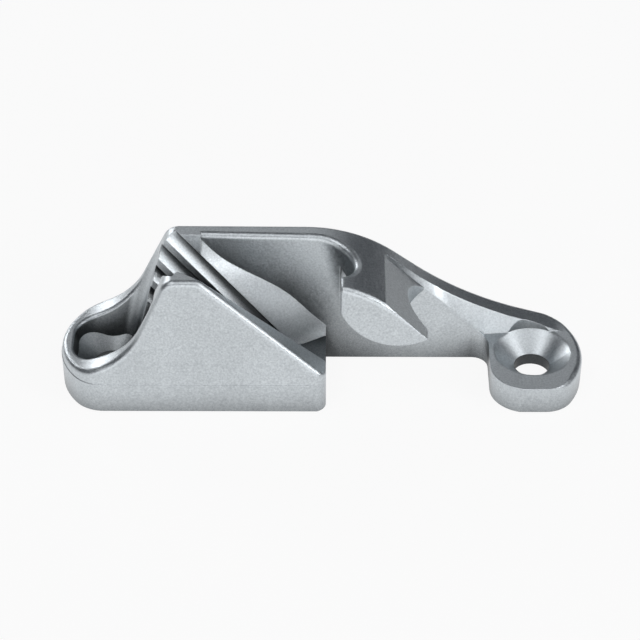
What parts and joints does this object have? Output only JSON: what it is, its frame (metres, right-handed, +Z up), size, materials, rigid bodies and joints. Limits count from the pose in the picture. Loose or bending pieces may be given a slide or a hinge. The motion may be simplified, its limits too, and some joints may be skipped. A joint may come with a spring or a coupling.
{
  "type": "jam cleat",
  "caption": "Side-entry jam cleat for a thin rope: a toothed V channel cast in one piece with a horn over its rope gap, an entry cup and countersunk screw holes.",
  "frame": {"origin": "on the deck face, midway between the two screw holes", "axes": "+X along the rope from the entry cup to the exit boss, +Y towards the arm's closed side, +Z up out of the deck"},
  "size_m": [0.0821, 0.0192, 0.0235],
  "materials": {
    "casting": "satin, fine shot-blasted and clear anodised"
  },
  "bodies": {
    "root": {"cleat_body": "casting"}
  },
  "joints": []
}
